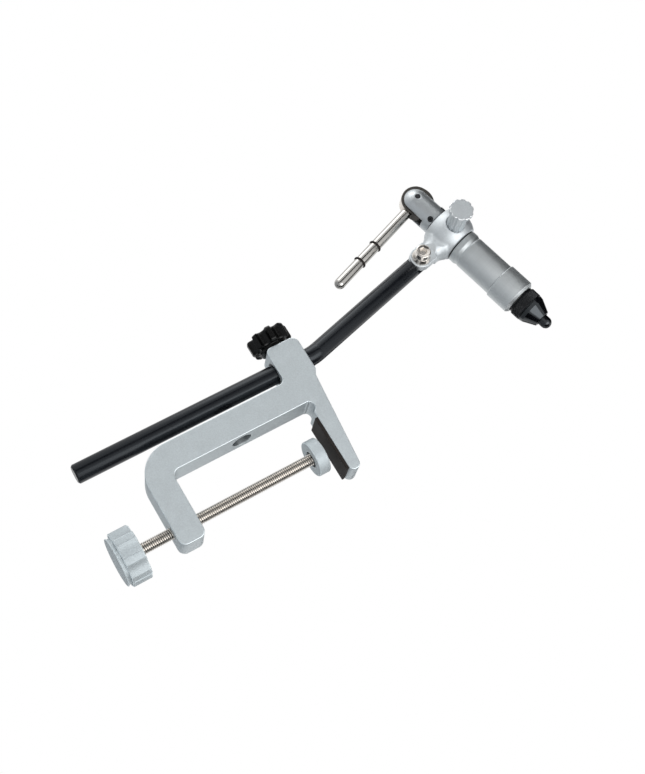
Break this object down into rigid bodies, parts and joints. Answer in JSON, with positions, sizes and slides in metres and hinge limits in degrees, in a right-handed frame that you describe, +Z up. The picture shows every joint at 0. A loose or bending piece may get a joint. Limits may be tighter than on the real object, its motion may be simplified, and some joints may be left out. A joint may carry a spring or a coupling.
{
  "type": "fly tying vise",
  "caption": "Rotary fly tying vise: C clamp with screw and knob, bent stem, tilting ball head, turning barrel, black chuck with split jaws and a cam lever that closes them.",
  "frame": {"origin": "where the clamp screw's axis meets the table top, on the underside of the rubber pad", "axes": "+Z up along the clamp screw and the lower stem, +X towards the clamp's open mouth where the table goes in; the plate's middle plane is Y = 0 and the thumb knob points to -Y"},
  "size_m": [0.1241, 0.0406, 0.2605],
  "materials": {
    "frame_metal": "satin, bead blasted",
    "head_metal": "satin, bead blasted",
    "barrel_metal": "finely turned",
    "stem_black": "satin black",
    "screw_steel": "bright",
    "nickel": "nickel plated",
    "lever_chrome": "polished",
    "cam_steel": "ground",
    "dark_steel": "black oxide",
    "chuck_black": "gloss black",
    "knob_plastic": "matt black",
    "rubber": "matt",
    "brass": "plain",
    "white_plastic": "plain",
    "black_plastic": "plain"
  },
  "bodies": {
    "frame": {"clamp_frame": "frame_metal", "jaw_pad": "rubber"},
    "foot": {"clamp_foot": "frame_metal", "foot_clip": "dark_steel"},
    "screw": {"clamp_screw": "screw_steel", "clamp_knob": "frame_metal"},
    "liner": {"stem_liner": "black_plastic"},
    "stem": {"stem": "stem_black", "tilt_screw": "nickel", "tilt_cone_washer": "nickel", "tilt_friction_washer": "black_plastic"},
    "lock_tip": {"stem_lock_tip": "brass"},
    "lock": {"lock_stud": "screw_steel", "lock_knob": "knob_plastic"},
    "head": {"head_housing": "head_metal", "front_bushing": "brass", "rear_bushing": "brass"},
    "plug": {"friction_plug": "white_plastic"},
    "thumb": {"thumb_stud": "screw_steel", "thumb_knob": "head_metal"},
    "spindle": {"spindle": "cam_steel", "front_washer": "black_plastic", "rear_washer": "black_plastic", "barrel_sleeve": "barrel_metal", "barrel_front_ring": "barrel_metal", "cam_housing": "head_metal", "set_screws": "dark_steel", "cam_pin": "dark_steel", "return_spring": "screw_steel"},
    "lever": {"cam": "cam_steel", "lever_rod": "lever_chrome", "lever_rings": "rubber"},
    "rod": {"push_rod": "cam_steel"},
    "jaw_left": {"jaw_left": "chuck_black"},
    "jaw_right": {"jaw_right": "chuck_black"},
    "collar": {"knurled_collar": "chuck_black"},
    "nose": {"nose_cone": "chuck_black"}
  },
  "joints": [
    {"name": "foot_travel", "type": "slide", "parent": "frame", "child": "foot", "axis": [0, 0, 1], "range_m": [-0.06, 0.0042]},
    {"name": "clamp_turn", "type": "hinge", "parent": "foot", "child": "screw", "pos_m": [0, 0, 0], "axis": [0, 0, 1], "range_deg": [-21601, 1513]},
    {"name": "stem_turn", "type": "hinge", "parent": "frame", "child": "liner", "pos_m": [-0.0475, 0, 0], "axis": [0, 0, 1], "continuous": true},
    {"name": "stem_slide", "type": "slide", "parent": "liner", "child": "stem", "axis": [0, 0, 1], "range_m": [0, 0.105]},
    {"name": "lock_travel", "type": "slide", "parent": "frame", "child": "lock_tip", "axis": [1, 0, 0], "range_m": [-0.0024, 0]},
    {"name": "lock_turn", "type": "hinge", "parent": "lock_tip", "child": "lock", "pos_m": [-0.0475, 0, 0.0035], "axis": [1, 0, 0], "range_deg": [-1080.1, 0.1]},
    {"name": "head_tilt", "type": "hinge", "parent": "stem", "child": "head", "pos_m": [-0.06781, 0, 0.09783], "axis": [0, 1, 0], "range_deg": [-8, 70]},
    {"name": "head_spin", "type": "hinge", "parent": "head", "child": "spindle", "pos_m": [-0.07441, 0, 0.12144], "axis": [0.9703, 0, 0.2419], "continuous": true},
    {"name": "plug_travel", "type": "slide", "parent": "head", "child": "plug", "axis": [0, 1, 0], "range_m": [-0.0016, 0]},
    {"name": "thumb_turn", "type": "hinge", "parent": "plug", "child": "thumb", "pos_m": [-0.07344, 0, 0.12168], "axis": [0, 1, 0], "range_deg": [-720.1, 0.1]},
    {"name": "cam_lever", "type": "hinge", "parent": "spindle", "child": "lever", "pos_m": [-0.09886, 0, 0.11534], "axis": [0, 1, 0], "range_deg": [-0.01, 100.01]},
    {"name": "rod_travel", "type": "slide", "parent": "spindle", "child": "rod", "axis": [0.9703, 0, 0.2419], "range_m": [-0.0012, 0]},
    {"name": "jaw_left_swing", "type": "hinge", "parent": "rod", "child": "jaw_left", "pos_m": [-0.04705, -0.0022, 0.12826], "axis": [-0.2419, 0, 0.9703], "range_deg": [-0.61, 0.001]},
    {"name": "jaw_right_swing", "type": "hinge", "parent": "rod", "child": "jaw_right", "pos_m": [-0.04705, 0.0022, 0.12826], "axis": [-0.2419, 0, 0.9703], "range_deg": [-0.001, 0.61]},
    {"name": "nose_travel", "type": "slide", "parent": "spindle", "child": "nose", "axis": [0.9703, 0, 0.2419], "range_m": [0, 0.0015]},
    {"name": "collar_turn", "type": "hinge", "parent": "spindle", "child": "collar", "pos_m": [-0.07441, 0, 0.12144], "axis": [0.9703, 0, 0.2419], "range_deg": [-540.1, 0.1]}
  ],
  "couplings": [
    {"joint": "clamp_turn", "follows": "foot_travel", "rad_per_m": 6283.2},
    {"joint": "lock_turn", "follows": "lock_travel", "rad_per_m": 7854},
    {"joint": "thumb_turn", "follows": "plug_travel", "rad_per_m": 7854},
    {"joint": "cam_lever", "follows": "rod_travel", "rad_per_m": -1454.4},
    {"joint": "jaw_left_swing", "follows": "rod_travel", "rad_per_m": 8.7266},
    {"joint": "jaw_right_swing", "follows": "rod_travel", "rad_per_m": -8.7266},
    {"joint": "collar_turn", "follows": "nose_travel", "rad_per_m": -6283.2}
  ]
}
